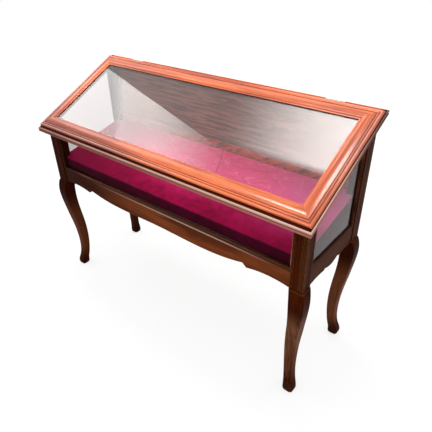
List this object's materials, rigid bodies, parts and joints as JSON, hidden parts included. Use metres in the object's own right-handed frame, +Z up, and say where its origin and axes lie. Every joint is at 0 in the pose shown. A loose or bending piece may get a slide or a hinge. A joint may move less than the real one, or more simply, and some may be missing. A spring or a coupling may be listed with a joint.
{
  "type": "display table",
  "caption": "Collectors display table: glazed case with a sloping hinged glass lid and a velvet display board, on cabriole legs.",
  "frame": {"origin": "on the floor, midway between the two ends and between the front and back edges of the rim", "axes": "+X to the right as seen from the front, +Y from the low front to the high back, +Z up"},
  "size_m": [1.139, 0.3858, 0.8338],
  "materials": {
    "dark_mahogany": "dark stained and polished",
    "rim_mahogany": "stained and polished",
    "polished_mahogany": "bright red-brown, french polished",
    "strip_mahogany": "satin",
    "plywood": "stained, satin",
    "softwood": "sawn, unfinished",
    "velvet": "crushed pile",
    "glass": "clear float glass",
    "brass": "aged brass",
    "steel": "dull"
  },
  "bodies": {
    "case": {"apron_back": "dark_mahogany", "apron_front": "dark_mahogany", "apron_left": "dark_mahogany", "apron_right": "dark_mahogany", "back_panel": "plywood", "back_top_rail": "dark_mahogany", "board_bearers": "softwood", "case_floor": "plywood", "corner_blocks": "softwood", "display_board": "plywood", "floor_battens": "softwood", "floor_screws": "steel", "glass_front": "glass", "glass_left": "glass", "glass_right": "glass", "hinge_case_leaf_left": "brass", "hinge_case_leaf_right": "brass", "hinge_pin_left": "brass", "hinge_pin_right": "brass", "hinge_screws_case": "brass", "inner_beads_front": "dark_mahogany", "inner_beads_left": "dark_mahogany", "inner_beads_right": "dark_mahogany", "leg_back_left": "dark_mahogany", "leg_back_right": "dark_mahogany", "leg_front_left": "dark_mahogany", "leg_front_right": "dark_mahogany", "outer_beads_front": "dark_mahogany", "outer_beads_left": "dark_mahogany", "outer_beads_right": "dark_mahogany", "retaining_strip": "strip_mahogany", "retaining_strip_screws": "steel", "rim_back": "rim_mahogany", "rim_front": "rim_mahogany", "rim_left": "rim_mahogany", "rim_right": "rim_mahogany", "riser_front": "softwood", "riser_left": "softwood", "riser_right": "softwood", "velvet_cover": "velvet"},
    "lid": {"hinge_lid_leaf_left": "brass", "hinge_lid_leaf_right": "brass", "hinge_screws_lid": "brass", "lid_bead_back": "polished_mahogany", "lid_bead_front": "polished_mahogany", "lid_bead_left": "polished_mahogany", "lid_bead_right": "polished_mahogany", "lid_frame_back": "polished_mahogany", "lid_frame_front": "polished_mahogany", "lid_frame_left": "polished_mahogany", "lid_frame_right": "polished_mahogany", "lid_glass": "glass"}
  },
  "joints": [
    {"name": "lid_hinge", "type": "hinge", "parent": "case", "child": "lid", "pos_m": [0, 0.1836, 0.82886], "axis": [-1, 0, 0], "range_deg": [0, 120]}
  ]
}
